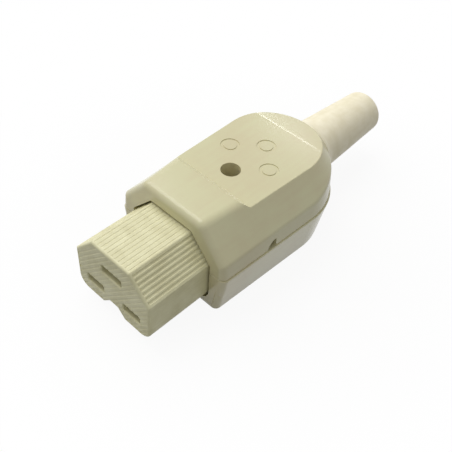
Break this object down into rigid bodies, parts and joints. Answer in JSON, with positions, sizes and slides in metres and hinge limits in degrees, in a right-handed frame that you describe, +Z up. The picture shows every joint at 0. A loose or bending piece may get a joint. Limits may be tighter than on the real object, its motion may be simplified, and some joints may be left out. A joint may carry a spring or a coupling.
{
  "type": "appliance connector",
  "caption": "Rewireable appliance connector: ribbed, chamfered nose with blade slots, split moulded body with a screw hole, and a tapered cord boot.",
  "frame": {"origin": "centre of the mating face at the front of the nose, midway up the nose", "axes": "+Y runs back along the connector to the cord, +Z is up towards the plateau, +X completes the right-handed frame"},
  "size_m": [0.0386, 0.0999, 0.0265],
  "materials": {
    "housing": "moulded cream thermoset, glossy",
    "carrier": "moulded ivory thermoset, satin",
    "boot": "soft ivory sleeve, matte",
    "contact": "bright formed strip",
    "terminal": "turned and milled, bright",
    "fastener": "zinc plated"
  },
  "bodies": {
    "root": {"carrier_rear_cover": "carrier", "contact_carrier": "carrier", "cord_boot": "boot", "cord_clamp": "housing", "earth_contact": "contact", "earth_terminal": "terminal", "earth_terminal_screw": "fastener", "housing_nut": "fastener", "housing_screw": "fastener", "left_clamp_screw": "fastener", "line_contact": "contact", "line_terminal": "terminal", "line_terminal_screw": "fastener", "lower_housing": "housing", "neutral_contact": "contact", "neutral_terminal": "terminal", "neutral_terminal_screw": "fastener", "right_clamp_screw": "fastener", "upper_housing": "housing"}
  },
  "joints": []
}
